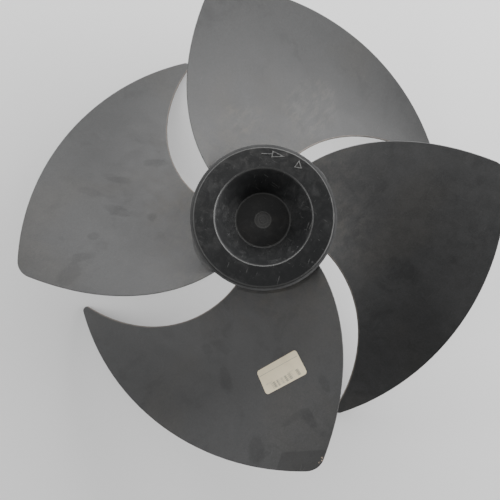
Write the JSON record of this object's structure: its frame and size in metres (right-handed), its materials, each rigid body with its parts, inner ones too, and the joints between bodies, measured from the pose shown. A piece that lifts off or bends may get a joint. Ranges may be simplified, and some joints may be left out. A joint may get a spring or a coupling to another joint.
{
  "type": "axial fan wheel",
  "caption": "One-piece axial fan wheel with broad swept blades around a recessed hub and a blind flatted bore for the motor shaft of an outdoor air conditioner unit.",
  "frame": {"origin": "on the fan's axis, in the rear face of the shaft boss, at the mouth of the bore", "axes": "+Z along the fan's axis towards its front, the side that the air leaves; +X and +Y lie in the fan's plane"},
  "size_m": [0.46, 0.46, 0.1476],
  "materials": {
    "black_plastic": "semi-matte moulded glass-filled styrene plastic, dusty",
    "label_paper": "matt aged paper"
  },
  "bodies": {
    "root": {"fan_wheel": "black_plastic", "paper_label": "label_paper"}
  },
  "joints": []
}
